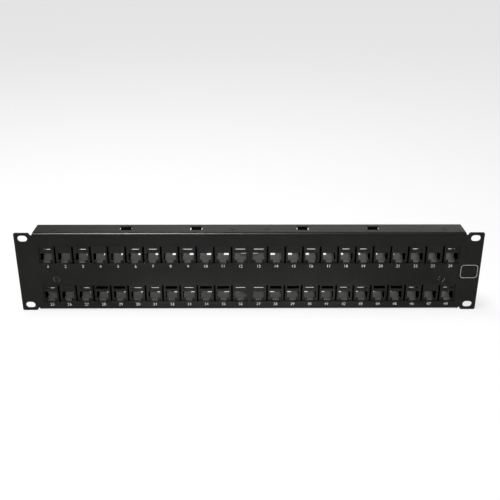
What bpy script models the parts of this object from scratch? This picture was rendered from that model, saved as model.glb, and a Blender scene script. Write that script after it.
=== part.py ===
"""A 48-port, 2U patch panel for a 19-inch rack, modelled as it comes apart on a bench.

The panel faces -Y and stands on the lower edges of its two ears, at Z = 0, with X = 0 on its
centre line. Sizes below are in millimetres; "depth" is the distance behind the front face.
Each row of ports has its own height, so "level" is the height above the row's centre line.
"""

import math

import bmesh
import bpy

MM = 0.001
CLEARANCE = 0.3

# Rack standard
PANEL_WIDTH = 482.6
RACK_UNIT = 44.45
PANEL_HEIGHT = 2 * RACK_UNIT
SLOT_SPACING_X = 465.1
SLOT_SPACING_Z = 76.2
SLOT_SIZE = (10.0, 6.8)

# Folded steel front
SHEET = 1.5
BODY_HALF_WIDTH = 222.5
EAR_START = 225.0
EAR_CORNER = 1.8
BODY_HALF_HEIGHT = 43.7
RELIEF_POINT = (223.9, 41.3)
RELIEF_SHOULDER = 43.4
FLANGE_DEPTH = 25.0
BEND_RADIUS = 2.5
NECK_LAP = 0.5

# Ports
PORT_PITCH = 18.288
FIRST_PORT_X = 9.525
PORTS_PER_MODULE = 6
MODULES_PER_SIDE = 2
ROW_Z = (RACK_UNIT / 2, -RACK_UNIT / 2)
CUTOUT_X = (1.4, 217.7)
CUTOUT_LEVEL = (-12.5, 6.9)

# Sockets: the wide part, and the notch under it for the plug's latch
SOCKET_HALF_WIDTH = 6.2
SOCKET_TOP = -1.3
SOCKET_FLOOR = -9.5
NOTCH_HALF_WIDTH = 3.4
NOTCH_FLOOR = -12.4
BEZEL_DEPTH = 2.0
BEZEL_HALF_WIDTH = 8.15
BEZEL_WALL = 1.4
GROOVE_DEPTH = 7.5
HOUSING_BACK = 17.0
HOUSING_LEVEL = (-15.6, 8.5)
HOUSING_END = 222.2
CHAMBER_LEVEL = (-13.6, 6.4)
CHAMBER_HALF_WIDTH = 6.4

# Carriers: a floor for each socket, joined behind the jacks by a spine with ribs on it
SPINE_INSET = 0.3
FLOOR_FRONT = 4.0
FLOOR_LEVEL = (-13.2, NOTCH_FLOOR)
INNER_FLOOR_BACK = 22.3
OUTER_FLOOR_BACK = 29.0
FLOOR_STEP_X = -0.5
SPINE_DEPTH = (17.3, 19.5)
RIB_LAP = 0.1
RIB_DEPTH = (17.6, 26.5)
RIB_TOP = -6.9
RIDGE_DEPTH = (22.0, 24.6)
RIDGE_TOP = -11.7

# Sight slits over three of a module's ports, counted outwards from the centre line
SLOTTED_PORTS = (0, 3, 5)
SLIT_HALF_WIDTH = 5.0
SLIT_LEVEL = (2.4, 3.5)

# Deep pockets in the lower row, over these ports of the inner and the outer module
POCKET_PORTS = ((1, 2, 4), (1, 2))
POCKET_HALF_WIDTH = 6.2
POCKET_LEVEL = (1.8, 5.0)
POCKET_BACK = 14.0
POCKET_PORT_CEILING = 0.5

# Rear of the modules: board, then the strip with its towers and the channel for the wires
BOARD_DEPTH = (17.2, 18.8)
BOARD_LEVEL = (-2.6, 16.2)
BOARD_HOLE_X = 51.0
BOARD_HOLE_LEVEL = 14.3
STRIP_DEPTH = (19.1, 21.6)
STRIP_LEVEL = (-2.4, 13.0)
TOWER_HALF_WIDTH = 6.2
TOWER_DEPTH = (21.0, 33.0)
TOWER_LEVEL = (-2.2, 12.6)
CHANNEL_FLOOR = 24.0
CHANNEL_LEVEL = (4.2, 6.2)

# Brace between the two halves
BRACE_HALF_WIDTH = 2.9
BRACE_SHEET = 1.2
BRACE_DEPTH = 22.0
BRACE_TAB_HALF_WIDTH = 24.5
BRACE_TAB_DEPTH = (7.0, 16.0)

# Fixings along each flange, measured from the centre line
SCREW_X = (17.7, 203.0)
LATCH_X = (55.2, 128.4)
SCREW_DEPTH = 11.5
SCREW_HOLE = 1.8
SCREW_SEAT = (3.1, 0.9)
SCREW_HEAD = 2.75
SCREW_SHANK = 1.4
SCREW_LENGTH = 9.45
SCREW_SOCKET = (1.15, 0.6)
BOSS_HALF_WIDTH = 4.5
BOSS_DEPTH = (8.0, 15.0)
BOSS_BORE = (1.7, 8.0)
LATCH_WINDOW = (12.5, 9.6)
LATCH_DEPTH = 14.3
TONGUE_HALF_WIDTH = 5.3
TONGUE_LIP = 3.6
TONGUE_BACK = 16.0

# Studs pressed into the face, with a nut on each
STUD_X = 201.9
STUD_Z = -8.0
STUD_HOLE = 2.4
STUD_SEAT = (3.8, 0.9)
STUD_HEAD = 3.5
STUD_SHANK = 2.0
STUD_LENGTH = 7.4
NUT_RADIUS = 4.04
NUT_DEPTH = (3.6, 6.8)
NUT_BORE = 2.3

# Rear cable bar
BAR_RADIUS = 3.0
BAR_DEPTH = 89.0
BAR_Z = 0.2
ARM_X = 209.8
ARM_END_RADIUS = 6.0
TAB_DEPTH = (1.8, 3.3)
TAB_REACH = 6.5
TAB_BELOW_STUD = 5.2
BRACKET_HOLE = 2.3
BAR_SCREW_HEAD = (3.6, 2.4)
BAR_SCREW_SHANK = 1.7
BAR_SCREW_TIP = 12.0
BAR_SCREW_SOCKET = (1.5, 1.2)
BAR_BORE = (2.0, 14.0)
TOTAL_DEPTH = BAR_DEPTH + ARM_END_RADIUS

COLOURS = {
    "painted_steel": ((0.016, 0.016, 0.015), 0.45, 0.0),
    "black_plastic": ((0.022, 0.022, 0.021), 0.40, 0.0),
    "grey_plastic": ((0.210, 0.210, 0.200), 0.45, 0.0),
    "circuit_board": ((0.010, 0.060, 0.022), 0.40, 0.0),
    "connector_plastic": ((0.030, 0.030, 0.032), 0.40, 0.0),
    "zinc_steel": ((0.520, 0.530, 0.540), 0.32, 1.0),
    "black_steel": ((0.030, 0.030, 0.030), 0.35, 0.5),
}


def clear_scene():
    for old in list(bpy.data.objects):
        bpy.data.objects.remove(old, do_unlink=True)


def new_collection(name):
    made = bpy.data.collections.new(name)
    bpy.context.scene.collection.children.link(made)
    return made


def new_material(name):
    colour, roughness, metallic = COLOURS[name]
    material = bpy.data.materials.new(name)
    material.use_nodes = True
    shader = material.node_tree.nodes["Principled BSDF"]
    shader.inputs["Base Color"].default_value = (*colour, 1.0)
    shader.inputs["Roughness"].default_value = roughness
    shader.inputs["Metallic"].default_value = metallic
    material.diffuse_color = (*colour, 1.0)
    return material


def place(x, depth, z):
    """A point from millimetres: x, depth behind the front face, height above the panel's centre."""
    return (x * MM, (depth - TOTAL_DEPTH / 2) * MM, (z + PANEL_HEIGHT / 2) * MM)


def add_mesh(name, bm, collection, material=None):
    bm.normal_update()
    bmesh.ops.recalc_face_normals(bm, faces=bm.faces)
    mesh = bpy.data.meshes.new(name)
    bm.to_mesh(mesh)
    bm.free()
    made = bpy.data.objects.new(name, mesh)
    collection.objects.link(made)
    if material:
        mesh.materials.append(material)
    return made


def cube_into(bm, x, depth, z):
    """A box between two values each of x, depth and height."""
    low = place(min(x), min(depth), min(z))
    high = place(max(x), max(depth), max(z))
    corners = bmesh.ops.create_cube(bm, size=1.0)["verts"]
    for vert in corners:
        for axis in range(3):
            side = vert.co[axis] + 0.5
            vert.co[axis] = low[axis] + side * (high[axis] - low[axis])


def prism_into(bm, outline, depth):
    """A flat outline of (x, z) points, as thick as the two depths are apart."""
    front = [bm.verts.new(place(x, min(depth), z)) for x, z in outline]
    face = bm.faces.new(front)
    grown = bmesh.ops.extrude_face_region(bm, geom=[face])["geom"]
    moved = [part for part in grown if isinstance(part, bmesh.types.BMVert)]
    bmesh.ops.translate(bm, verts=moved, vec=(0, abs(depth[1] - depth[0]) * MM, 0))


def plan_into(bm, outline, z):
    """An outline of (x, depth) points seen from above, between two heights."""
    base = [bm.verts.new(place(x, depth, min(z))) for x, depth in outline]
    face = bm.faces.new(base)
    grown = bmesh.ops.extrude_face_region(bm, geom=[face])["geom"]
    moved = [part for part in grown if isinstance(part, bmesh.types.BMVert)]
    bmesh.ops.translate(bm, verts=moved, vec=(0, 0, abs(z[1] - z[0]) * MM))


def extrusion_into(bm, profile, x):
    """A (depth, z) profile carried along X between two values."""
    start = [bm.verts.new(place(min(x), depth, z)) for depth, z in profile]
    face = bm.faces.new(start)
    grown = bmesh.ops.extrude_face_region(bm, geom=[face])["geom"]
    moved = [part for part in grown if isinstance(part, bmesh.types.BMVert)]
    bmesh.ops.translate(bm, verts=moved, vec=(abs(x[1] - x[0]) * MM, 0, 0))


def rod_into(bm, axis, centre, radius, span, sides=24):
    """A round or many-sided bar along one axis, between two values on that axis."""
    made = bmesh.ops.create_cone(
        bm,
        cap_ends=True,
        segments=sides,
        radius1=radius * MM,
        radius2=radius * MM,
        depth=abs(span[1] - span[0]) * MM,
    )["verts"]
    middle = (span[0] + span[1]) / 2
    for vert in made:
        across, up, along = vert.co
        if axis == "x":
            where = place(middle, centre[0], centre[1])
            vert.co = (where[0] + along, where[1] + across, where[2] + up)
        elif axis == "depth":
            where = place(centre[0], middle, centre[1])
            vert.co = (where[0] + across, where[1] + along, where[2] + up)
        else:
            where = place(centre[0], centre[1], middle)
            vert.co = (where[0] + across, where[1] + up, where[2] + along)


def arc(centre, radius, start, end, steps):
    """Points on an arc, from one angle to another in degrees."""
    points = []
    for step in range(steps + 1):
        angle = math.radians(start + (end - start) * step / steps)
        points.append((centre[0] + radius * math.cos(angle), centre[1] + radius * math.sin(angle)))
    return points


def slot_outline(centre, size, steps=6):
    """A slot with round ends, longer along x."""
    radius = size[1] / 2
    reach = size[0] / 2 - radius
    right = arc((centre[0] + reach, centre[1]), radius, -90, 90, steps)
    left = arc((centre[0] - reach, centre[1]), radius, 90, 270, steps)
    return right + left


class Builder:
    """Makes nodes and the cutters that shape them."""

    def __init__(self):
        self.parts = new_collection("patch_panel")
        self.cutters = new_collection("cutters")
        self.materials = {name: new_material(name) for name in COLOURS}

    def part(self, name, bm, material):
        return add_mesh(name, bm, self.parts, self.materials[material])

    def combine(self, target, name, bm, operation):
        tool = add_mesh(f"{target.name}_{name}", bm, self.cutters)
        tool.hide_render = True
        tool.display_type = "WIRE"
        modifier = target.modifiers.new(name, "BOOLEAN")
        modifier.operation = operation
        modifier.object = tool

    def cut(self, target, name, bm):
        self.combine(target, name, bm, "DIFFERENCE")

    def join(self, target, name, bm):
        self.combine(target, name, bm, "UNION")


def smooth_round_parts(part):
    part.data.shade_smooth()
    part.data.set_sharp_from_angle(angle=math.radians(30))


# ---- the folded front ----


def channel_profile():
    """The front and both flanges in one bend profile, as (depth, z) points."""
    outer = BODY_HALF_HEIGHT
    bend = outer - BEND_RADIUS
    inner = outer - SHEET
    inner_radius = BEND_RADIUS - SHEET
    inside = inner - inner_radius
    top_out = arc((BEND_RADIUS, bend), BEND_RADIUS, 180, 90, 6)
    top_in = arc((BEND_RADIUS, inside), inner_radius, 90, 180, 3)
    upper = top_out + [(FLANGE_DEPTH, outer), (FLANGE_DEPTH, inner)] + top_in
    lower = [(depth, -z) for depth, z in reversed(upper)]
    return upper + lower


def ear_outline(side):
    """One rack ear, with the neck that joins it to the folded body between two pointed reliefs."""
    half_height = PANEL_HEIGHT / 2
    outer = PANEL_WIDTH / 2
    neck = BODY_HALF_WIDTH - NECK_LAP
    corner_x = outer - EAR_CORNER
    corner_z = half_height - EAR_CORNER
    inner_x = EAR_START + EAR_CORNER
    points = arc((corner_x, corner_z), EAR_CORNER, 0, 90, 3)
    points += arc((inner_x, corner_z), EAR_CORNER, 90, 180, 3)
    points += [RELIEF_POINT, (neck, RELIEF_SHOULDER)]
    points += [(neck, -RELIEF_SHOULDER), (RELIEF_POINT[0], -RELIEF_POINT[1])]
    points += arc((inner_x, -corner_z), EAR_CORNER, 180, 270, 3)
    points += arc((corner_x, -corner_z), EAR_CORNER, 270, 360, 3)
    return [(side * x, z) for x, z in points]


def make_front(build):
    bm = bmesh.new()
    extrusion_into(bm, channel_profile(), (-BODY_HALF_WIDTH, BODY_HALF_WIDTH))
    front = build.part("front_panel", bm, "painted_steel")

    ears = bmesh.new()
    for side in (-1, 1):
        prism_into(ears, ear_outline(side), (0, SHEET))
    build.join(front, "ears", ears)

    holes = bmesh.new()
    for side in (-1, 1):
        for row in ROW_Z:
            x = [side * value for value in CUTOUT_X]
            cube_into(holes, x, (-5, 5), [row + level for level in CUTOUT_LEVEL])
        for end in (-1, 1):
            centre = (side * SLOT_SPACING_X / 2, end * SLOT_SPACING_Z / 2)
            prism_into(holes, slot_outline(centre, SLOT_SIZE), (-5, 5))
    build.cut(front, "openings", holes)

    fixings = bmesh.new()
    seats = bmesh.new()
    for side in (-1, 1):
        stud = (side * STUD_X, STUD_Z)
        rod_into(fixings, "depth", stud, STUD_HOLE, (-4, 6), 16)
        rod_into(seats, "depth", stud, STUD_SEAT[0], (-2, STUD_SEAT[1]), 24)
        for end in (-1, 1):
            outer = end * BODY_HALF_HEIGHT
            through = (outer - 4 * end, outer + 4 * end)
            for x in SCREW_X:
                screw = (side * x, SCREW_DEPTH)
                rod_into(fixings, "z", screw, SCREW_HOLE, through, 8)
                seat_span = (outer - end * SCREW_SEAT[1], outer + end * 3)
                rod_into(seats, "z", screw, SCREW_SEAT[0], seat_span, 16)
            for x in LATCH_X:
                half_width, half_depth = (size / 2 for size in LATCH_WINDOW)
                window = (side * x - half_width, side * x + half_width)
                cube_into(fixings, window, (LATCH_DEPTH - half_depth, LATCH_DEPTH + half_depth), through)
    build.cut(front, "fixing_holes", fixings)
    build.cut(front, "fixing_seats", seats)


# ---- the six-port jack modules ----


def port_positions(side, module):
    """The x of a module's ports, from the centre line outwards."""
    first = module * PORTS_PER_MODULE
    return [side * (FIRST_PORT_X + PORT_PITCH * (first + i)) for i in range(PORTS_PER_MODULE)]


def module_span(side, module):
    """The two ends of a module along x."""
    start = FIRST_PORT_X - PORT_PITCH / 2 + module * PORTS_PER_MODULE * PORT_PITCH
    end = start + PORTS_PER_MODULE * PORT_PITCH
    return side * (start + CLEARANCE / 2), side * (end - CLEARANCE / 2)


def housing_span(side, module):
    """A housing's two ends; the outer ones reach the ends of the flanges."""
    start, end = module_span(side, module)
    return start, side * HOUSING_END if module == MODULES_PER_SIDE - 1 else end


def levels(row, low, high):
    """Two heights from two levels in a row of ports."""
    return row + low, row + high


def sided(x, side, low, high):
    """Two x values beside a port, where low and high count outwards from the centre line."""
    return x + side * low, x + side * high


def socket_outline(x, row):
    top = row + SOCKET_TOP
    floor = row + SOCKET_FLOOR
    notch = row + NOTCH_FLOOR
    wide = SOCKET_HALF_WIDTH
    narrow = NOTCH_HALF_WIDTH
    return [
        (x - wide, top),
        (x - wide, floor),
        (x - narrow, floor),
        (x - narrow, notch),
        (x + narrow, notch),
        (x + narrow, floor),
        (x + wide, floor),
        (x + wide, top),
    ]


def comb_outline(span, ports):
    """A module seen from above, as (x, depth) points: six bezels with a groove between each two."""
    low, high = min(span), max(span)
    edges = []
    for x in sorted(ports):
        edges += [x - BEZEL_HALF_WIDTH, x + BEZEL_HALF_WIDTH]
    points = [(low, HOUSING_BACK), (low, GROOVE_DEPTH)]
    for start, end in zip(edges[::2], edges[1::2]):
        points += [(start, GROOVE_DEPTH), (start, BEZEL_DEPTH), (end, BEZEL_DEPTH), (end, GROOVE_DEPTH)]
    return points + [(high, GROOVE_DEPTH), (high, HOUSING_BACK)]


def make_housing(build, name, side, module, row):
    """The black moulding: six bezels on a block, with a socket and its contact chamber in each."""
    span = housing_span(side, module)
    ports = port_positions(side, module)
    bm = bmesh.new()
    plan_into(bm, comb_outline(span, ports), levels(row, *HOUSING_LEVEL))
    housing = build.part(name, bm, "black_plastic")

    up = 1 if row > 0 else -1
    edge = row + (HOUSING_LEVEL[1] - 1 if up > 0 else HOUSING_LEVEL[0] + 1)
    boss_top = BODY_HALF_HEIGHT - SHEET - CLEARANCE
    if module == 0:
        boss_top -= BRACE_SHEET + CLEARANCE
    bosses = bmesh.new()
    screw_x = side * SCREW_X[module]
    boss_x = (screw_x - BOSS_HALF_WIDTH, screw_x + BOSS_HALF_WIDTH)
    cube_into(bosses, boss_x, BOSS_DEPTH, (edge, up * boss_top))
    tongue_x = (side * LATCH_X[module] - TONGUE_HALF_WIDTH, side * LATCH_X[module] + TONGUE_HALF_WIDTH)
    tongue_top = BODY_HALF_HEIGHT - CLEARANCE
    tongue_front, lip_back = (LATCH_DEPTH + end * (LATCH_WINDOW[1] / 2 - CLEARANCE) for end in (-1, 1))
    cube_into(bosses, tongue_x, (tongue_front, TONGUE_BACK), (edge, up * tongue_top))
    lips = bmesh.new()
    lip_levels = (up * (tongue_top - TONGUE_LIP), up * tongue_top)
    cube_into(lips, tongue_x, (TONGUE_BACK - 1, lip_back), lip_levels)
    build.join(housing, "bosses", bosses)
    build.join(housing, "lips", lips)

    chambers = bmesh.new()
    wall = BEZEL_DEPTH + BEZEL_WALL
    for number, x in enumerate(ports):
        half = CHAMBER_HALF_WIDTH
        floor, ceiling = CHAMBER_LEVEL
        if row < 0 and number not in SLOTTED_PORTS:
            ceiling = POCKET_PORT_CEILING
        cube_into(chambers, (x - half, x + half), (wall, HOUSING_BACK + 1), levels(row, floor, ceiling))
    build.cut(housing, "chambers", chambers)

    openings = bmesh.new()
    for number, x in enumerate(ports):
        prism_into(openings, socket_outline(x, row), (1, wall + 0.5))
        if number in SLOTTED_PORTS:
            half, back, level = SLIT_HALF_WIDTH, wall + 0.5, SLIT_LEVEL
        elif row < 0 and number in POCKET_PORTS[module]:
            half, back, level = POCKET_HALF_WIDTH, POCKET_BACK, POCKET_LEVEL
        else:
            continue
        cube_into(openings, (x - half, x + half), (1, back), levels(row, *level))
    bore = (up * (boss_top - BOSS_BORE[1]), up * (boss_top + 2))
    rod_into(openings, "z", (screw_x, SCREW_DEPTH), BOSS_BORE[0], bore, 10)
    build.cut(housing, "openings", openings)


def make_carrier(build, name, side, module, row):
    """The grey insert that is each socket's floor, open towards the centre line at the back."""
    span = module_span(side, module)
    ports = port_positions(side, module)
    bm = bmesh.new()
    ends = (span[0] + side * SPINE_INSET, span[1] - side * SPINE_INSET)
    cube_into(bm, ends, SPINE_DEPTH, levels(row, *FLOOR_LEVEL))
    carrier = build.part(name, bm, "grey_plastic")

    floors = bmesh.new()
    half = CHAMBER_HALF_WIDTH - CLEARANCE
    plan = [
        (-half, FLOOR_FRONT),
        (half, FLOOR_FRONT),
        (half, OUTER_FLOOR_BACK),
        (FLOOR_STEP_X, OUTER_FLOOR_BACK),
        (FLOOR_STEP_X, INNER_FLOOR_BACK),
        (-half, INNER_FLOOR_BACK),
    ]
    for x in ports:
        outline = [(x + side * outward, depth) for outward, depth in plan]
        plan_into(floors, outline, levels(row, *FLOOR_LEVEL))
    build.join(carrier, "floors", floors)

    ribs = bmesh.new()
    rib_levels = levels(row, FLOOR_LEVEL[0], RIB_TOP)
    reach = half - RIB_LAP
    edges = [side * (BRACE_HALF_WIDTH + CLEARANCE) if module == 0 else ends[0]]
    for x in ports:
        edges += sided(x, side, -reach, reach)
    edges.append(ends[1])
    for start, end in zip(edges[::2], edges[1::2]):
        cube_into(ribs, (start, end), RIB_DEPTH, rib_levels)
    build.join(carrier, "ribs", ribs)
    if module == 0:
        ridge = bmesh.new()
        x = sided(ports[0], side, -half, FLOOR_STEP_X + 0.5)
        cube_into(ridge, x, RIDGE_DEPTH, levels(row, FLOOR_LEVEL[0], RIDGE_TOP))
        build.join(carrier, "ridge", ridge)


def make_board(build, name, side, module, row):
    span = module_span(side, module)
    bm = bmesh.new()
    cube_into(bm, span, BOARD_DEPTH, levels(row, *BOARD_LEVEL))
    board = build.part(name, bm, "circuit_board")
    holes = bmesh.new()
    middle = (span[0] + span[1]) / 2
    for end in (-1, 1):
        centre = (middle + end * BOARD_HOLE_X, row + BOARD_HOLE_LEVEL)
        rod_into(holes, "depth", centre, 1.2, (BOARD_DEPTH[0] - 1, BOARD_DEPTH[1] + 1), 8)
    build.cut(board, "tooling_holes", holes)


def make_connector(build, name, side, module, row):
    """The strip of punch-down terminals, four pairs for each port."""
    span = module_span(side, module)
    ports = port_positions(side, module)
    bm = bmesh.new()
    cube_into(bm, span, STRIP_DEPTH, levels(row, *STRIP_LEVEL))
    strip = build.part(name, bm, "connector_plastic")
    towers = bmesh.new()
    for x in ports:
        half = TOWER_HALF_WIDTH
        cube_into(towers, (x - half, x + half), TOWER_DEPTH, levels(row, *TOWER_LEVEL))
    build.join(strip, "towers", towers)
    wires = bmesh.new()
    channel_depth = (CHANNEL_FLOOR, TOWER_DEPTH[1] + 1)
    cube_into(wires, (span[0] - side, span[1] + side), channel_depth, levels(row, *CHANNEL_LEVEL))
    build.cut(strip, "wire_channel", wires)


# ---- brackets, bar and fasteners ----


def make_screws(build):
    """The flush screws that hold the modules to the two flanges."""
    for end, row_name in ((1, "upper"), (-1, "lower")):
        places = [side * x for side in (-1, 1) for x in SCREW_X]
        for number, x in enumerate(places, start=1):
            centre = (x, SCREW_DEPTH)
            top = BODY_HALF_HEIGHT - 0.05
            seat = BODY_HALF_HEIGHT - SCREW_SEAT[1] + 0.05
            bm = bmesh.new()
            rod_into(bm, "z", centre, SCREW_HEAD, (end * seat, end * top), 16)
            screw = build.part(f"module_screw_{row_name}_{number}", bm, "black_steel")
            shank = bmesh.new()
            rod_into(shank, "z", centre, SCREW_SHANK, (end * (top - SCREW_LENGTH), end * (seat + 0.3)), 8)
            build.join(screw, "shank", shank)
            drive = bmesh.new()
            radius, deep = SCREW_SOCKET
            rod_into(drive, "z", centre, radius, (end * (top - deep), end * (top + 1)), 6)
            build.cut(screw, "drive", drive)
            smooth_round_parts(screw)


def make_studs(build):
    for side, hand in ((-1, "left"), (1, "right")):
        centre = (side * STUD_X, STUD_Z)
        bm = bmesh.new()
        rod_into(bm, "depth", centre, STUD_HEAD, (0.05, 0.6), 24)
        stud = build.part(f"clinch_stud_{hand}", bm, "painted_steel")
        shank = bmesh.new()
        rod_into(shank, "depth", centre, STUD_SHANK, (0.4, STUD_LENGTH), 16)
        build.join(stud, "shank", shank)
        smooth_round_parts(stud)

        bm = bmesh.new()
        rod_into(bm, "depth", centre, NUT_RADIUS, NUT_DEPTH, 6)
        nut = build.part(f"stud_nut_{hand}", bm, "zinc_steel")
        bore = bmesh.new()
        rod_into(bore, "depth", centre, NUT_BORE, (NUT_DEPTH[0] - 1, NUT_DEPTH[1] + 1), 16)
        build.cut(nut, "bore", bore)


def make_bar_brackets(build):
    """A tab on each stud, bent back into an arm that carries the cable bar."""
    for side, hand in ((-1, "left"), (1, "right")):
        outer = side * (ARM_X + SHEET / 2)
        inner = side * (ARM_X - SHEET / 2)
        half = ARM_END_RADIUS
        bm = bmesh.new()
        tab_x = (side * (STUD_X - TAB_REACH), outer)
        cube_into(bm, tab_x, TAB_DEPTH, (STUD_Z - TAB_BELOW_STUD, BAR_Z + half - 0.2))
        bracket = build.part(f"bar_bracket_{hand}", bm, "painted_steel")
        arm = bmesh.new()
        front = TAB_DEPTH[0] + 0.2
        rounded = arc((BAR_DEPTH, BAR_Z), half, -90, 90, 8)
        profile = [(front, BAR_Z - half)] + rounded + [(front, BAR_Z + half)]
        extrusion_into(arm, profile, (outer, inner))
        build.join(bracket, "arm", arm)
        holes = bmesh.new()
        rod_into(holes, "depth", (side * STUD_X, STUD_Z), BRACKET_HOLE, (0, 5), 16)
        rod_into(holes, "x", (BAR_DEPTH, BAR_Z), BRACKET_HOLE, (outer + side * 2, inner - side * 2), 16)
        build.cut(bracket, "holes", holes)


def make_bar_screws(build):
    for side, hand in ((-1, "left"), (1, "right")):
        seat = ARM_X + SHEET / 2 + CLEARANCE
        radius, height = BAR_SCREW_HEAD
        bm = bmesh.new()
        rod_into(bm, "x", (BAR_DEPTH, BAR_Z), radius, (side * seat, side * (seat + height)), 20)
        screw = build.part(f"bar_screw_{hand}", bm, "zinc_steel")
        shank = bmesh.new()
        length = (side * (seat + 0.5), side * (ARM_X - BAR_SCREW_TIP))
        rod_into(shank, "x", (BAR_DEPTH, BAR_Z), BAR_SCREW_SHANK, length, 16)
        build.join(screw, "shank", shank)
        drive = bmesh.new()
        socket, deep = BAR_SCREW_SOCKET
        reach = (side * (seat + height - deep), side * (seat + height + 1))
        rod_into(drive, "x", (BAR_DEPTH, BAR_Z), socket, reach, 6)
        build.cut(screw, "drive", drive)
        smooth_round_parts(screw)


def make_cable_bar(build):
    half = ARM_X - SHEET / 2 - CLEARANCE
    bm = bmesh.new()
    rod_into(bm, "x", (BAR_DEPTH, BAR_Z), BAR_RADIUS, (-half, half), 24)
    bar = build.part("rear_cable_bar", bm, "painted_steel")
    bores = bmesh.new()
    radius, deep = BAR_BORE
    for side in (-1, 1):
        rod_into(bores, "x", (BAR_DEPTH, BAR_Z), radius, (side * (half - deep), side * (half + 2)), 16)
    build.cut(bar, "screw_bores", bores)
    smooth_round_parts(bar)


def make_centre_brace(build):
    """A strip that ties the two flanges together behind the middle web."""
    top = BODY_HALF_HEIGHT - SHEET - CLEARANCE
    half = BRACE_HALF_WIDTH
    bm = bmesh.new()
    cube_into(bm, (-half, half), (BRACE_DEPTH, BRACE_DEPTH + BRACE_SHEET), (-top, top))
    brace = build.part("centre_brace", bm, "painted_steel")
    bridges = bmesh.new()
    tabs = bmesh.new()
    holes = bmesh.new()
    for end in (-1, 1):
        sheet = (end * (top - BRACE_SHEET), end * top)
        cube_into(bridges, (-half, half), (BRACE_TAB_DEPTH[1] - 1, BRACE_DEPTH + 0.6), sheet)
        cube_into(tabs, (-BRACE_TAB_HALF_WIDTH, BRACE_TAB_HALF_WIDTH), BRACE_TAB_DEPTH, sheet)
        for side in (-1, 1):
            span = (end * (top - 4), end * (top + 3))
            rod_into(holes, "z", (side * SCREW_X[0], SCREW_DEPTH), SCREW_HOLE, span, 12)
    build.join(brace, "bridges", bridges)
    build.join(brace, "tabs", tabs)
    build.cut(brace, "screw_holes", holes)


def make_modules(build):
    number = 0
    for row in ROW_Z:
        for side, order in ((-1, (1, 0)), (1, (0, 1))):
            for module in order:
                number += 1
                make_housing(build, f"jack_housing_{number}", side, module, row)
                make_carrier(build, f"contact_carrier_{number}", side, module, row)
                make_board(build, f"circuit_board_{number}", side, module, row)
                make_connector(build, f"punch_down_strip_{number}", side, module, row)


def main():
    clear_scene()
    build = Builder()
    make_front(build)
    make_modules(build)
    make_screws(build)
    make_studs(build)
    make_bar_brackets(build)
    make_bar_screws(build)
    make_cable_bar(build)
    make_centre_brace(build)


main()
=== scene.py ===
"""The looks of a 48-port, two-unit patch panel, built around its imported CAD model.

The panel faces -Y. Sizes are in millimetres, except for the studio's, which are in metres.
"Depth" is the distance behind the front face, as in the CAD source. Heights are measured from
the panel's middle, and "level" from the middle of a row of ports.
"""

import math

import bmesh
import bpy
from mathutils import Matrix, Vector


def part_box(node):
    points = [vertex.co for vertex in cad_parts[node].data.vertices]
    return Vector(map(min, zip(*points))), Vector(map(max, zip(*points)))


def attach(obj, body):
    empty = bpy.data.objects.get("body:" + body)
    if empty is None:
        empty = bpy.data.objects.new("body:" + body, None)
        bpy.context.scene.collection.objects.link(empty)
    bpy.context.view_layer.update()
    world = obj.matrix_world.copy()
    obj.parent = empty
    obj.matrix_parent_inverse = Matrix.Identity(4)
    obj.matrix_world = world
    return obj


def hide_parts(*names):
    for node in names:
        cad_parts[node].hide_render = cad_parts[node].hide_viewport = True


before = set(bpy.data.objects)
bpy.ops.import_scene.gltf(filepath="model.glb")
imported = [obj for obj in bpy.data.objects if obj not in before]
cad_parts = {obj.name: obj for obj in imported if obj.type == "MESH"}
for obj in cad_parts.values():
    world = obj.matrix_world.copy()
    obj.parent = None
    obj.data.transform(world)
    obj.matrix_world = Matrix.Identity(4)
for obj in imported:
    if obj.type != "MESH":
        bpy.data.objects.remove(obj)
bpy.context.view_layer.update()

BODY = "root"
MM = 0.001

FRONT_LOW, FRONT_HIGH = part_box("front_panel")
FACE_Y = FRONT_LOW.y
MIDDLE_Z = (FRONT_LOW.z + FRONT_HIGH.z) / 2
PANEL_HEIGHT = (FRONT_HIGH.z - FRONT_LOW.z) / MM

# The port grid, as in the CAD source
PORT_PITCH = 18.288
FIRST_PORT_X = 9.525
PORTS_PER_ROW = 24
PORTS_PER_HALF = PORTS_PER_ROW // 2
PORTS_PER_MODULE = 6
MODULES_PER_ROW = PORTS_PER_ROW // PORTS_PER_MODULE
ROWS = (("upper", 22.225), ("lower", -22.225))

# Most of a noise lies between these two values. The last one says how much its fine layers count.
NOISE_LOW = 0.3
NOISE_HIGH = 0.7
NOISE_ROUGHNESS = 0.55

# Edge rounding of the CAD nodes, the distance within which their corners are joined, the angle
# from which an edge is sharp, and how strongly the larger faces rule the shading
NODE_EDGES = {
    "front_panel": 0.25,
    "jack_housing": 0.15,
    "contact_carrier": 0.15,
    "circuit_board": 0.1,
    "stud_nut": 0.3,
    "bar_bracket": 0.3,
    "centre_brace": 0.2,
}
EDGE_SEGMENTS = 2
WELD_REACH = 0.002
SHARP_ANGLE = math.radians(32)
LARGE_FACE_WEIGHT = 100

# Printing on the face. Digits fill a share of the typeface's size, and their row is a little
# tighter than the ports'. The ink stands proud of the face, and its outline is rooted below it.
DIGIT_HEIGHT = 3.3
DIGIT_SHARE = 0.73
DIGIT_LEVEL = -15.5
DIGIT_SPREAD = 0.994
DIGIT_CURVE_STEPS = 3
INK_THICKNESS = 0.03
INK_ROOT = 0.01
LABEL_X = (221.0, 238.8)
LABEL_Z = (-7.1, 7.8)
LABEL_CORNER = 3.2
LABEL_CORNER_STEPS = 6
LABEL_LINE = 0.36

# The stud heads in the face: x and height, radius, and how wide the painted highlight round their rim
# is
STUD = (201.9, -8.0)
STUD_HEAD = 3.5
STUD_RIM_HIGHLIGHT = 0.8

# The depths over which the jacks turn from their face to the painted shade inside their sockets
SOCKET_PAINTED_SHADE = (2.6, 4.2)

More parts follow.
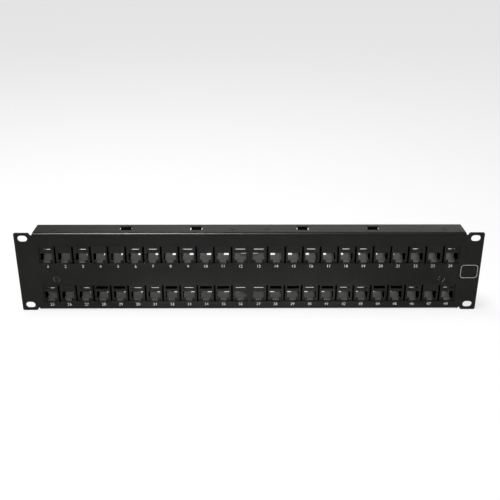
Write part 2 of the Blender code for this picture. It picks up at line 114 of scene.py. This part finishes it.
# Spring contacts: the path is (depth, level) points, from the bend under the socket's roof
# to the root
CONTACTS_PER_PORT = 8
CONTACT_PITCH = 1.02
CONTACT_RADIUS = 0.2
CONTACT_SIDES = 5
CONTACT_PATH = (
    (4.6, -1.1),
    (5.0, -0.7),
    (6.0, -0.9),
    (9.0, -2.0),
    (12.5, -3.4),
    (15.5, -4.4),
    (17.1, -4.6),
)

# Terminal blocks behind each port: two rows of four wires, each between two teeth
BLOCK_HALF_WIDTH = 6.2
BLOCK_LEVELS = ((-2.2, 4.0), (6.4, 12.6))
BLOCK_DEPTH = (21.0, 27.0)
BASE_LEVEL = (-2.4, 13.0)
BASE_DEPTH = (19.1, 21.6)
WIRES_PER_BLOCK = 4
TOOTH_WIDTH = 1.3
TOOTH_DEPTH = (26.5, 33.0)
TOOTH_ROOF = 1.6
TOOTH_HALF_RIDGE = 0.2
TOOTH_PITCH = (2 * BLOCK_HALF_WIDTH - TOOTH_WIDTH) / WIRES_PER_BLOCK

# A wire's blade: its two prongs, either side of the wire's middle
BLADE_PRONG = (0.25, 0.62)
BLADE_DEPTH = (26.0, 30.8)
BLADE_HALF_HEIGHT = 0.8

# Solder joints: cones on the boards' rear faces, on pins in two staggered lines
PIN_PITCH = 1.27
PIN_LEVELS = (14.0, 15.2)
SOLDER_RADII = (0.42, 0.16)
SOLDER_HEIGHT = 0.7
SOLDER_MIDDLE = 19.1
SOLDER_SIDES = 8

# The camera: millimetres from the middle of the face, turns in degrees, lens on a full frame
CAMERA_X = -6.227
CAMERA_DEPTH = -699.207
CAMERA_Z = 335.983
CAMERA_PITCH = 23.954
CAMERA_YAW = 0.5407
CAMERA_ROLL = 0.1425
CAMERA_LENS = 53.42
CAMERA_SENSOR = 36.0

# The floor: how far it reaches, and how much of its look is plain white, the rest being lit
# and shadowed
FLOOR_REACH = 6.0
FLOOR_GREY = (0.86, 0.86, 0.86, 1.0)
PAPER_WHITE = 0.75

# Brightness of the studio against height, from straight down at 0 to straight up at 1:
# on the camera's side and behind the panel
FRONT_LIGHT = ((0.0, 0.19), (0.42, 0.19), (0.5, 0.02), (0.75, 0.02), (1.0, 0.04))
BACK_LIGHT = ((0.0, 0.2), (0.5, 0.66), (0.7, 0.64), (0.79, 0.04), (1.0, 0.03))

# Where one side turns into the other, and where the light behind fades towards the left, to a
# share of itself, as parts of a direction
SIDES_MEET = (-0.15, 0.15)
LEFT_FADE = (-0.3, -0.1)
LEFT_SHARE = 0.15

# Soft boxes as place, size and power in watts, all aimed at one point
OVERHEAD_BOX = ((-0.27, -0.05, 1.2), (0.95, 0.26), 19)
FRONT_BOX = ((0.05, -1.5, 0.8), (0.4, 0.25), 12)
BOXES_AIM = (0, 0, 0.04)

# The glow of white paper in front of the panel: name, millimetres in front, size, power.
# It lies this many millimetres above the floor.
PAPER_GLOWS = (("paper_near", 36, (0.25, 0.06), 0.012), ("paper_far", 110, (0.3, 0.2), 0.015))
GLOW_HEIGHT = 1


def place(x, depth, z):
    """A point from millimetres: x, depth behind the face, height above the panel's middle."""
    return Vector((x * MM, FACE_Y + depth * MM, MIDDLE_Z + z * MM))


def centred(count, pitch):
    """The offsets of this many things at this pitch from the middle of their row."""
    return [(i - (count - 1) / 2) * pitch for i in range(count)]


# ---- materials ----


def grey(value, warm=0.0):
    """A grey, slightly warm if asked."""
    return (value, value, value * (1 - warm))


class Graph:
    """A node tree, with short ways to add what the looks are made of."""

    def __init__(self, tree):
        self.tree = tree

    def add(self, kind, operation=None):
        """A new node, with its operation if it is a node for sums."""
        node = self.tree.nodes.new(kind)
        if operation:
            node.operation = operation
        return node

    def link(self, output, target):
        """Joins an output to an input."""
        self.tree.links.new(output, target)

    def split(self, vector):
        """The X, Y and Z of a vector."""
        node = self.add("ShaderNodeSeparateXYZ")
        self.link(vector, node.inputs["Vector"])
        return node.outputs

    def range(self, factor, low, high, start=NOISE_LOW, end=NOISE_HIGH):
        """A number that goes from low to high as the factor goes from start to end."""
        node = self.add("ShaderNodeMapRange")
        node.inputs["From Min"].default_value = start
        node.inputs["From Max"].default_value = end
        node.inputs["To Min"].default_value = low
        node.inputs["To Max"].default_value = high
        self.link(factor, node.inputs["Value"])
        return node.outputs["Result"]

    def ramp(self, factor, stops):
        """A colour from a factor, with (position, colour) stops."""
        node = self.add("ShaderNodeValToRGB")
        elements = node.color_ramp.elements
        while len(elements) < len(stops):
            elements.new(0.5)
        for element, (position, colour) in zip(elements, stops):
            element.position = position
            element.color = (*colour, 1.0)
        self.link(factor, node.inputs["Fac"])
        return node.outputs["Color"]

    def blend(self, noise, first, second):
        """A colour that wanders between two others with a noise."""
        return self.ramp(noise, [(NOISE_LOW, first), (NOISE_HIGH, second)])

    def scaled(self, colour, factor):
        """A colour times a number."""
        node = self.add("ShaderNodeVectorMath", "SCALE")
        self.link(colour, node.inputs[0])
        self.link(factor, node.inputs["Scale"])
        return node.outputs["Vector"]

    def product(self, first, second):
        """One number times another."""
        node = self.add("ShaderNodeMath", "MULTIPLY")
        self.link(first, node.inputs[0])
        self.link(second, node.inputs[1])
        return node.outputs["Value"]

    def mixed(self, factor, first, second):
        """Two shaders mixed, the factor being the second one's share."""
        node = self.add("ShaderNodeMixShader")
        self.link(factor, node.inputs["Fac"])
        self.link(first, node.inputs[1])
        self.link(second, node.inputs[2])
        return node.outputs["Shader"]


class Finish(Graph):
    """A material made of nodes, on a Principled shader."""

    def __init__(self, name, roughness=0.5, metallic=0.0, specular=0.5, coat=0.0):
        self.material = bpy.data.materials.new(name)
        self.material.use_nodes = True
        super().__init__(self.material.node_tree)
        self.shader = self.tree.nodes["Principled BSDF"]
        self.shader.inputs["Roughness"].default_value = roughness
        self.shader.inputs["Metallic"].default_value = metallic
        self.shader.inputs["Specular IOR Level"].default_value = specular
        self.shader.inputs["Coat Weight"].default_value = coat
        self.place = self.add("ShaderNodeTexCoord").outputs["Object"]

    def noise(self, size, detail=3.0, stretch=(1, 1, 1)):
        """Noise whose features are about this many millimetres across."""
        mapping = self.add("ShaderNodeMapping")
        mapping.inputs["Scale"].default_value = stretch
        self.link(self.place, mapping.inputs["Vector"])
        node = self.add("ShaderNodeTexNoise")
        node.inputs["Scale"].default_value = 1 / (size * MM)
        node.inputs["Detail"].default_value = detail
        node.inputs["Roughness"].default_value = NOISE_ROUGHNESS
        self.link(mapping.outputs["Vector"], node.inputs["Vector"])
        return node.outputs["Fac"]

    def cells(self, size):
        """Rounded grains about this many millimetres across."""
        node = self.add("ShaderNodeTexVoronoi")
        node.inputs["Scale"].default_value = 1 / (size * MM)
        self.link(self.place, node.inputs["Vector"])
        return node.outputs["Distance"]

    def behind_face(self, low, high, depths):
        """A number that goes from low to high between two depths."""
        start, end = (FACE_Y + depth * MM for depth in depths)
        return self.range(self.split(self.place)["Y"], low, high, start, end)

    def round_rim(self, centre, radius, width):
        """A number that rises from 0 to 1 over this width, towards the rim of a disc in the face.

        The disc's centre is an x and a height, and it has a mirror twin on the panel's other half.
        """
        folded = self.add("ShaderNodeVectorMath", "ABSOLUTE")
        self.link(self.place, folded.inputs[0])
        moved = self.add("ShaderNodeVectorMath", "SUBTRACT")
        moved.inputs[1].default_value = (centre[0] * MM, 0, MIDDLE_Z + centre[1] * MM)
        self.link(folded.outputs["Vector"], moved.inputs[0])
        flat = self.add("ShaderNodeVectorMath", "MULTIPLY")
        flat.inputs[1].default_value = (1, 0, 1)
        self.link(moved.outputs["Vector"], flat.inputs[0])
        distance = self.add("ShaderNodeVectorMath", "LENGTH")
        self.link(flat.outputs["Vector"], distance.inputs[0])
        return self.range(distance.outputs["Value"], 0, 1, (radius - width) * MM, radius * MM)

    def colour(self, socket):
        """Takes the base colour from a socket."""
        self.link(socket, self.shader.inputs["Base Color"])

    def roughness(self, socket):
        """Takes the roughness from a socket."""
        self.link(socket, self.shader.inputs["Roughness"])

    def specular(self, socket):
        """Takes the strength of the reflection at right angles from a socket."""
        self.link(socket, self.shader.inputs["Specular IOR Level"])

    def bump(self, socket, height, under=None):
        """Relief of this height in millimetres; returns the normal, for another layer."""
        node = self.add("ShaderNodeBump")
        node.inputs["Distance"].default_value = height * MM
        self.link(socket, node.inputs["Height"])
        if under:
            self.link(under, node.inputs["Normal"])
        self.link(node.outputs["Normal"], self.shader.inputs["Normal"])
        return node.outputs["Normal"]


def mottled(finish, base, spread, size, warm=0.0):
    """A base grey that wanders by a share of itself over patches of this size."""
    patches = finish.noise(size, detail=4.0)
    dark = grey(base * (1 - spread), warm)
    light = grey(base * (1 + spread), warm)
    finish.colour(finish.blend(patches, dark, light))


def painted_steel():
    """Satin black powder coat: a fine orange peel with a faint cloud in its gloss."""
    finish = Finish("painted_steel_look", specular=0.42)
    mottled(finish, 0.0118, 0.12, 18.0, warm=0.08)
    finish.roughness(finish.range(finish.noise(7.0), 0.31, 0.37))
    peel = finish.bump(finish.noise(0.9, detail=2.0), height=0.012)
    finish.bump(finish.noise(0.18, detail=1.0), height=0.004, under=peel)
    return finish.material


def painted_stud():
    """The same black paint, with a painted highlight in patches round the rim of a stud's head."""
    finish = Finish("painted_stud_look", specular=0.42)
    rim = finish.round_rim(STUD, STUD_HEAD, STUD_RIM_HIGHLIGHT)
    patches = finish.range(finish.noise(1.4, detail=2.0), 0.0, 1.0, 0.46, 0.56)
    # Painted highlight: patches of lighter grey round the rim of each stud's head, where the rim
    # catches the light
    rim_highlight = finish.product(rim, patches)
    finish.colour(finish.ramp(rim_highlight, [(0.2, grey(0.0118)), (0.6, grey(0.2))]))
    finish.roughness(finish.range(finish.noise(3.0), 0.31, 0.41))
    finish.bump(finish.noise(0.9, detail=2.0), height=0.012)
    return finish.material


def black_plastic():
    """Moulded flame-retardant plastic with a fine spark texture; painted shade makes it darker and
    duller inside the sockets.
    """
    finish = Finish("black_plastic_look")
    patches = finish.noise(6.0, detail=4.0)
    face = finish.blend(patches, grey(0.0125, 0.05), grey(0.0165, 0.05))
    # Painted shade: inside the sockets the colour darkens and the reflection is taken away
    finish.colour(finish.scaled(face, finish.behind_face(1.0, 0.15, SOCKET_PAINTED_SHADE)))
    finish.roughness(finish.range(finish.noise(3.0), 0.37, 0.47))
    finish.specular(finish.behind_face(0.5, 0.0, SOCKET_PAINTED_SHADE))
    finish.bump(finish.noise(0.22, detail=3.0), height=0.008)
    return finish.material


def grey_plastic():
    """The contact carriers: warm grey, with flow marks along their length."""
    finish = Finish("grey_plastic_look", specular=0.7)
    flow = finish.noise(9.0, detail=3.0, stretch=(0.5, 1.6, 1.6))
    finish.colour(finish.blend(flow, (0.180, 0.180, 0.170), (0.207, 0.207, 0.196)))
    finish.roughness(finish.range(finish.noise(2.5), 0.35, 0.45))
    finish.bump(finish.noise(0.3, detail=2.0), height=0.006)
    return finish.material


def connector_plastic():
    """The terminal blocks: charcoal, glass-filled."""
    finish = Finish("connector_plastic_look", specular=0.4)
    mottled(finish, 0.022, 0.16, 4.0)
    finish.roughness(finish.range(finish.noise(1.6), 0.42, 0.58))
    finish.bump(finish.noise(0.16, detail=3.0), height=0.01)
    return finish.material


def zinc_steel():
    """Bright zinc plate, with turning marks and a little bloom."""
    finish = Finish("zinc_steel_look", metallic=1.0)
    bloom = finish.noise(1.8, detail=4.0)
    finish.colour(finish.blend(bloom, (0.42, 0.43, 0.45), (0.6, 0.6, 0.61)))
    finish.roughness(finish.range(finish.noise(0.8), 0.22, 0.4))
    finish.bump(finish.noise(0.12, detail=2.0), height=0.004)
    return finish.material


def black_steel():
    """Black oxide screws, rubbed a little brighter in places."""
    finish = Finish("black_steel_look", metallic=0.6)
    rub = finish.noise(1.2, detail=3.0)
    finish.colour(finish.blend(rub, grey(0.02), grey(0.05)))
    finish.roughness(finish.range(rub, 0.28, 0.42))
    finish.bump(finish.noise(0.15, detail=2.0), height=0.005)
    return finish.material


def solder_mask():
    """Green solder mask over the weave and the copper."""
    finish = Finish("circuit_board_look", coat=0.2)
    weave = finish.cells(0.9)
    finish.colour(finish.ramp(weave, [(0.1, (0.006, 0.045, 0.016)), (0.9, (0.012, 0.075, 0.028))]))
    finish.roughness(finish.range(finish.noise(2.0), 0.24, 0.34))
    finish.bump(weave, height=0.01)
    return finish.material


def contact_gold():
    """Gold plate, paler and rougher where it is rubbed."""
    finish = Finish("contact_gold_look", metallic=1.0)
    wear = finish.noise(0.8, detail=2.0)
    finish.colour(finish.blend(wear, (0.72, 0.47, 0.14), (0.86, 0.62, 0.24)))
    finish.roughness(finish.range(wear, 0.18, 0.3))
    return finish.material


def tin_plate():
    """Matt tin on the blades and the solder, with a faint bloom."""
    finish = Finish("tin_plate_look", metallic=1.0)
    bloom = finish.noise(0.6, detail=3.0)
    finish.colour(finish.blend(bloom, (0.5, 0.49, 0.47), (0.68, 0.67, 0.64)))
    finish.roughness(finish.range(bloom, 0.24, 0.38))
    return finish.material


def white_print():
    """Screen-printed ink, slightly uneven where the mesh left it."""
    finish = Finish("white_print_look", roughness=0.55, specular=0.3)
    ink = finish.noise(0.35, detail=3.0)
    finish.colour(finish.blend(ink, (0.57, 0.57, 0.55), (0.67, 0.67, 0.65)))
    finish.bump(ink, height=0.01)
    return finish.material


LOOKS = {
    "painted_steel": painted_steel(),
    "painted_stud": painted_stud(),
    "black_plastic": black_plastic(),
    "grey_plastic": grey_plastic(),
    "connector_plastic": connector_plastic(),
    "zinc_steel": zinc_steel(),
    "black_steel": black_steel(),
    "circuit_board": solder_mask(),
    "contact_gold": contact_gold(),
    "tin_plate": tin_plate(),
    "white_print": white_print(),
}

# ---- the CAD nodes ----

NODE_LOOKS = {
    "front_panel": "painted_steel",
    "jack_housing": "black_plastic",
    "contact_carrier": "grey_plastic",
    "circuit_board": "circuit_board",
    "punch_down_strip": "connector_plastic",
    "module_screw": "black_steel",
    "clinch_stud": "painted_stud",
    "stud_nut": "zinc_steel",
    "bar_bracket": "painted_steel",
    "bar_screw": "zinc_steel",
    "rear_cable_bar": "painted_steel",
    "centre_brace": "painted_steel",
}


def family(name):
    """The entry of NODE_LOOKS that a CAD node belongs to."""
    return next(start for start in NODE_LOOKS if name.startswith(start))


def round_edges(node, width):
    """Joins the node's triangles along their shared edges and rounds the sharp ones."""
    weld = node.modifiers.new("weld", "WELD")
    weld.merge_threshold = WELD_REACH * MM
    bevel = node.modifiers.new("edges", "BEVEL")
    bevel.width = width * MM
    bevel.segments = EDGE_SEGMENTS
    bevel.limit_method = "ANGLE"
    bevel.angle_limit = SHARP_ANGLE
    bevel.use_clamp_overlap = False
    shading = node.modifiers.new("shading", "WEIGHTED_NORMAL")
    shading.weight = LARGE_FACE_WEIGHT


def dress_cad_nodes():
    """Gives every CAD node its finish, and rounds the edges of those that need it."""
    for name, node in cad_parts.items():
        kind = family(name)
        node.data.materials.clear()
        node.data.materials.append(LOOKS[NODE_LOOKS[kind]])
        if kind in NODE_EDGES:
            round_edges(node, NODE_EDGES[kind])


# ---- new pieces ----


def add_piece(name, bm, slot, smooth=False):
    """A new mesh piece that rides on the panel, in one of the finishes."""
    bm.normal_update()
    mesh = bpy.data.meshes.new(name)
    bm.to_mesh(mesh)
    bm.free()
    if smooth:
        mesh.shade_smooth()
    mesh.materials.append(LOOKS[slot])
    piece = bpy.data.objects.new(name, mesh)
    bpy.context.scene.collection.objects.link(piece)
    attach(piece, BODY)
    return piece


def port_x(port):
    """The x of a port, counted from the left of its row, starting with 0."""
    if port < PORTS_PER_HALF:
        return -(FIRST_PORT_X + PORT_PITCH * (PORTS_PER_HALF - 1 - port))
    return FIRST_PORT_X + PORT_PITCH * (port - PORTS_PER_HALF)


def modules():
    """Each module's number, from 1, the x of its six ports and the height of its row."""
    for row, (_, height) in enumerate(ROWS):
        for module in range(MODULES_PER_ROW):
            first = module * PORTS_PER_MODULE
            ports = [port_x(first + i) for i in range(PORTS_PER_MODULE)]
            yield row * MODULES_PER_ROW + module + 1, ports, height


def add_text(bm, text, x, z):
    """A printed number centred on a point of the face."""
    curve = bpy.data.curves.new("number", "FONT")
    curve.body = text
    curve.align_x = "CENTER"
    curve.align_y = "CENTER"
    curve.size = DIGIT_HEIGHT * MM / DIGIT_SHARE
    curve.resolution_u = DIGIT_CURVE_STEPS
    curve.extrude = INK_THICKNESS * MM
    writing = bpy.data.objects.new("number", curve)
    mesh = bpy.data.meshes.new_from_object(writing)
    stand = Matrix.Translation(place(x, 0, z)) @ Matrix.Rotation(math.radians(90), 4, "X")
    mesh.transform(stand)
    bm.from_mesh(mesh)
    bpy.data.meshes.remove(mesh)
    bpy.data.objects.remove(writing)
    bpy.data.curves.remove(curve)


def print_numbers():
    """The port numbers, 1 to 24 under the upper row and 25 to 48 under the lower."""
    for row, (name, height) in enumerate(ROWS):
        bm = bmesh.new()
        for port in range(PORTS_PER_ROW):
            number = str(row * PORTS_PER_ROW + port + 1)
            add_text(bm, number, port_x(port) * DIGIT_SPREAD, height + DIGIT_LEVEL)
        add_piece(f"printed_numbers_{name}", bm, "white_print")


def rounded_outline(x, z, corner):
    """The points of a rounded rectangle between two values each of x and height."""
    points = []
    centres = (
        (x[1] - corner, z[1] - corner, 0),
        (x[0] + corner, z[1] - corner, 90),
        (x[0] + corner, z[0] + corner, 180),
        (x[1] - corner, z[0] + corner, 270),
    )
    for centre_x, centre_z, start in centres:
        for step in range(LABEL_CORNER_STEPS + 1):
            angle = math.radians(start + 90 * step / LABEL_CORNER_STEPS)
            points.append((centre_x + corner * math.cos(angle), centre_z + corner * math.sin(angle)))
    return points


def print_label_outline():
    """The plain rounded outline printed at the right of the face."""
    outer = rounded_outline(LABEL_X, LABEL_Z, LABEL_CORNER)
    inner_x = (LABEL_X[0] + LABEL_LINE, LABEL_X[1] - LABEL_LINE)
    inner_z = (LABEL_Z[0] + LABEL_LINE, LABEL_Z[1] - LABEL_LINE)
    inner = rounded_outline(inner_x, inner_z, LABEL_CORNER - LABEL_LINE)
    bm = bmesh.new()
    rings = []
    for depth in (-INK_THICKNESS, INK_ROOT):
        for points in (outer, inner):
            rings.append([bm.verts.new(place(x, depth, z)) for x, z in points])
    front_out, front_in, back_out, back_in = rings
    count = len(front_out)
    for i in range(count):
        j = (i + 1) % count
        bm.faces.new((front_out[i], front_in[i], front_in[j], front_out[j]))
        bm.faces.new((back_out[i], back_out[j], back_in[j], back_in[i]))
        bm.faces.new((front_out[i], front_out[j], back_out[j], back_out[i]))
        bm.faces.new((front_in[i], back_in[i], back_in[j], front_in[j]))
    bmesh.ops.recalc_face_normals(bm, faces=bm.faces)
    add_piece("printed_label_outline", bm, "white_print")


def contact_into(bm, points):
    """A spring contact: a round wire through points given in metres."""
    rings = []
    for i, point in enumerate(points):
        ahead = points[min(i + 1, len(points) - 1)] - points[max(i - 1, 0)]
        ahead.normalize()
        across = Vector((1, 0, 0))
        up = across.cross(ahead).normalized()
        ring = []
        for side in range(CONTACT_SIDES):
            angle = 2 * math.pi * side / CONTACT_SIDES
            offset = across * math.cos(angle) + up * math.sin(angle)
            ring.append(bm.verts.new(point + offset * CONTACT_RADIUS * MM))
        rings.append(ring)
    for ring, following in zip(rings, rings[1:]):
        for side in range(CONTACT_SIDES):
            after = (side + 1) % CONTACT_SIDES
            bm.faces.new((ring[side], ring[after], following[after], following[side]))
    bm.faces.new(list(reversed(rings[0])))
    bm.faces.new(rings[-1])


def fit_contacts():
    """Eight gold springs hanging from each socket's roof, in one piece for each half row."""
    for name, height in ROWS:
        for half, side in enumerate(("left", "right")):
            bm = bmesh.new()
            for port in range(half * PORTS_PER_HALF, (half + 1) * PORTS_PER_HALF):
                for offset in centred(CONTACTS_PER_PORT, CONTACT_PITCH):
                    x = port_x(port) + offset
                    contact_into(bm, [place(x, depth, height + level) for depth, level in CONTACT_PATH])
            bmesh.ops.recalc_face_normals(bm, faces=bm.faces)
            add_piece(f"spring_contacts_{name}_{side}", bm, "contact_gold", smooth=True)


def box_into(bm, x, depth, z):
    """A box between two values each of x, depth and height."""
    low = place(min(x), min(depth), min(z))
    high = place(max(x), max(depth), max(z))
    for vert in bmesh.ops.create_cube(bm, size=1.0)["verts"]:
        for axis in range(3):
            share = vert.co[axis] + 0.5
            vert.co[axis] = low[axis] + share * (high[axis] - low[axis])


def tooth_into(bm, x, z):
    """A tooth of a terminal block: straight sides, then a roof that narrows to a blunt ridge."""
    front, back = TOOTH_DEPTH
    side = TOOTH_WIDTH / 2
    shoulder = back - TOOTH_ROOF
    outline = [
        (x - side, front),
        (x + side, front),
        (x + side, shoulder),
        (x + TOOTH_HALF_RIDGE, back),
        (x - TOOTH_HALF_RIDGE, back),
        (x - side, shoulder),
    ]
    low = [bm.verts.new(place(across, depth, z[0])) for across, depth in outline]
    high = [bm.verts.new(place(across, depth, z[1])) for across, depth in outline]
    bm.faces.new(list(reversed(low)))
    bm.faces.new(high)
    for i in range(len(outline)):
        j = (i + 1) % len(outline)
        bm.faces.new((low[i], low[j], high[j], high[i]))


def block_into(bm, blades, x, z):
    """A port's row of four wires: the block and its teeth, and the blades between them."""
    box_into(bm, (x - BLOCK_HALF_WIDTH, x + BLOCK_HALF_WIDTH), BLOCK_DEPTH, z)
    for offset in centred(WIRES_PER_BLOCK + 1, TOOTH_PITCH):
        tooth_into(bm, x + offset, z)
    middle = (z[0] + z[1]) / 2
    blade_z = (middle - BLADE_HALF_HEIGHT, middle + BLADE_HALF_HEIGHT)
    for offset in centred(WIRES_PER_BLOCK, TOOTH_PITCH):
        for side in (-1, 1):
            prong = [x + offset + side * edge for edge in BLADE_PRONG]
            box_into(blades, prong, BLADE_DEPTH, blade_z)


def build_terminal_blocks():
    """Toothed blocks and their tin blades, in place of the plain strips."""
    for number, ports, row in modules():
        low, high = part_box(f"punch_down_strip_{number}")
        bm = bmesh.new()
        blades = bmesh.new()
        box_into(bm, (low.x / MM, high.x / MM), BASE_DEPTH, [row + level for level in BASE_LEVEL])
        for x in ports:
            for levels in BLOCK_LEVELS:
                block_into(bm, blades, x, [row + level for level in levels])
        add_piece(f"terminal_block_{number}", bm, "connector_plastic")
        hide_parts(f"punch_down_strip_{number}")
        add_piece(f"terminal_blades_{number}", blades, "tin_plate")


def add_solder_joints():
    """A double row of soldered pins along the top of each board, eight for each port."""
    wide, narrow = (radius * MM for radius in SOLDER_RADII)
    height = SOLDER_HEIGHT * MM
    turn = Matrix.Rotation(math.radians(-90), 4, "X")
    for number, ports, row in modules():
        bm = bmesh.new()
        for x in ports:
            for pin, offset in enumerate(centred(CONTACTS_PER_PORT, PIN_PITCH)):
                made = bmesh.ops.create_cone(
                    bm, cap_ends=True, segments=SOLDER_SIDES, radius1=wide, radius2=narrow, depth=height
                )
                level = PIN_LEVELS[pin % 2]
                move = Matrix.Translation(place(x + offset, SOLDER_MIDDLE, row + level))
                bmesh.ops.transform(bm, matrix=move @ turn, verts=made["verts"])
        add_piece(f"solder_joints_{number}", bm, "tin_plate", smooth=True)


# ---- floor, studio, lights and camera ----


def white_paper():
    """Paper that is mostly plain white to the camera, so that it keeps only a faint shadow."""
    finish = Finish("floor", roughness=0.9)
    finish.shader.inputs["Base Color"].default_value = FLOOR_GREY
    white = finish.add("ShaderNodeEmission").outputs["Emission"]
    seen = finish.add("ShaderNodeLightPath").outputs["Is Camera Ray"]
    share = finish.range(seen, 0, PAPER_WHITE, 0, 1)
    surface = finish.mixed(share, finish.shader.outputs["BSDF"], white)
    finish.link(surface, finish.tree.nodes["Material Output"].inputs["Surface"])
    return finish.material


def add_floor():
    """A white sweep under the panel, as in a catalogue picture."""
    bm = bmesh.new()
    bmesh.ops.create_grid(bm, x_segments=1, y_segments=1, size=FLOOR_REACH)
    mesh = bpy.data.meshes.new("floor")
    bm.to_mesh(mesh)
    bm.free()
    mesh.materials.append(white_paper())
    floor = bpy.data.objects.new("floor", mesh)
    bpy.context.scene.collection.objects.link(floor)
    floor.visible_glossy = False


def add_world():
    """White to the camera; to everything else a studio that is dark in front and light behind."""
    world = bpy.data.worlds.new("studio")
    bpy.context.scene.world = world
    world.use_nodes = True
    studio = Graph(world.node_tree)
    studio.tree.nodes.clear()
    direction = studio.split(studio.add("ShaderNodeTexCoord").outputs["Generated"])
    height = studio.range(direction["Z"], 0, 1, -1, 1)
    behind = studio.range(direction["Y"], 0, 1, *SIDES_MEET)
    sideways = studio.range(direction["X"], LEFT_SHARE, 1, *LEFT_FADE)
    front = studio.ramp(height, [(position, grey(value)) for position, value in FRONT_LIGHT])
    back = studio.ramp(height, [(position, grey(value)) for position, value in BACK_LIGHT])
    blend = studio.add("ShaderNodeMixRGB")
    studio.link(behind, blend.inputs["Fac"])
    studio.link(front, blend.inputs["Color1"])
    studio.link(studio.scaled(back, sideways), blend.inputs["Color2"])
    light = studio.add("ShaderNodeBackground")
    studio.link(blend.outputs["Color"], light.inputs["Color"])
    white = studio.add("ShaderNodeBackground")
    white.inputs["Color"].default_value = (1, 1, 1, 1)
    seen = studio.add("ShaderNodeLightPath").outputs["Is Camera Ray"]
    surface = studio.mixed(seen, light.outputs["Background"], white.outputs["Background"])
    studio.link(surface, studio.add("ShaderNodeOutputWorld").inputs["Surface"])


def add_area(name, at, size, power, aim):
    """A soft box aimed at a point."""
    data = bpy.data.lights.new(name, "AREA")
    data.shape = "RECTANGLE"
    data.size, data.size_y = size
    data.energy = power
    light = bpy.data.objects.new(name, data)
    light.location = at
    light.rotation_euler = (Vector(aim) - Vector(at)).to_track_quat("-Z", "Y").to_euler()
    bpy.context.scene.collection.objects.link(light)
    return light


def add_lights():
    """A box overhead, one in front that nothing reflects, and the glow of paper before the panel."""
    add_area("overhead_box", *OVERHEAD_BOX, BOXES_AIM)
    key = add_area("front_box", *FRONT_BOX, BOXES_AIM)
    key.visible_glossy = False
    for name, distance, size, power in PAPER_GLOWS:
        at = place(0, -distance, GLOW_HEIGHT - PANEL_HEIGHT / 2)
        glow = add_area(name, at, size, power, at + Vector((0, 0, 1)))
        glow.visible_camera = False


def add_camera():
    """The camera, in front of the panel and looking down at it."""
    data = bpy.data.cameras.new("camera")
    data.sensor_width = CAMERA_SENSOR
    data.lens = CAMERA_LENS
    camera = bpy.data.objects.new("camera", data)
    turn = Matrix.Rotation(math.radians(-CAMERA_YAW), 4, "Z")
    tilt = Matrix.Rotation(math.radians(90 - CAMERA_PITCH), 4, "X")
    roll = Matrix.Rotation(math.radians(CAMERA_ROLL), 4, "Z")
    where = Matrix.Translation(place(CAMERA_X, CAMERA_DEPTH, CAMERA_Z))
    camera.matrix_world = where @ turn @ tilt @ roll
    bpy.context.scene.collection.objects.link(camera)
    bpy.context.scene.camera = camera


dress_cad_nodes()
print_numbers()
print_label_outline()
fit_contacts()
build_terminal_blocks()
add_solder_joints()
add_floor()
add_world()
add_lights()
add_camera()
bpy.context.scene.view_settings.view_transform = "Standard"
